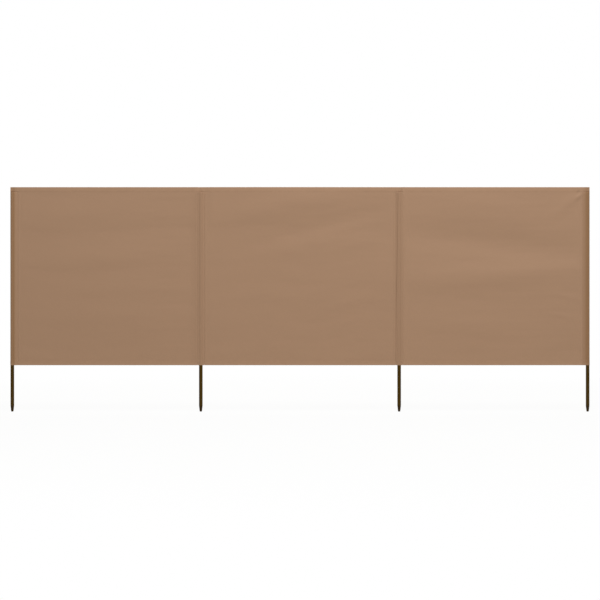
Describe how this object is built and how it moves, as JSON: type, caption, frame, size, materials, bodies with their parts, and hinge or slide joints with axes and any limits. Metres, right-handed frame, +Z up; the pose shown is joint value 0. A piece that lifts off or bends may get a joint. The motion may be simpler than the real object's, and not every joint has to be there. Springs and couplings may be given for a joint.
{
  "type": "garden windbreak",
  "caption": "Long cloth windbreak of equal-height bays on round steel posts held in sewn pockets, with bound edges and blunt plastic ground points.",
  "frame": {"origin": "middle of the flat at the lower end of the left end post's ground point", "axes": "+X along the run of cloth from the left end post to the right end post, -Y out of the front, +Z up the posts"},
  "size_m": [4.0015, 0.0274, 1.55],
  "materials": {
    "cloth": "plain-woven polyester, taupe, matt",
    "binding": "folded polyester edge with two rows of stitching, taupe, matt",
    "post": "dark brown powder coat, satin",
    "ground_point": "dark brown moulded plastic, fine matt grain",
    "post_cap": "dark brown moulded plastic, fine matt grain"
  },
  "bodies": {
    "root": {"left_end_post": "post", "left_end_ground_point": "ground_point", "left_end_post_cap": "post_cap", "left_end_pocket": "cloth", "left_middle_post": "post", "left_middle_ground_point": "ground_point", "left_middle_post_cap": "post_cap", "left_middle_pocket": "cloth", "right_middle_post": "post", "right_middle_ground_point": "ground_point", "right_middle_post_cap": "post_cap", "right_middle_pocket": "cloth", "right_end_post": "post", "right_end_ground_point": "ground_point", "right_end_post_cap": "post_cap", "right_end_pocket": "cloth", "left_bay_cloth": "cloth", "left_bottom_binding": "binding", "middle_bay_cloth": "cloth", "middle_bottom_binding": "binding", "right_bay_cloth": "cloth", "right_bottom_binding": "binding", "top_binding": "binding"}
  },
  "joints": []
}
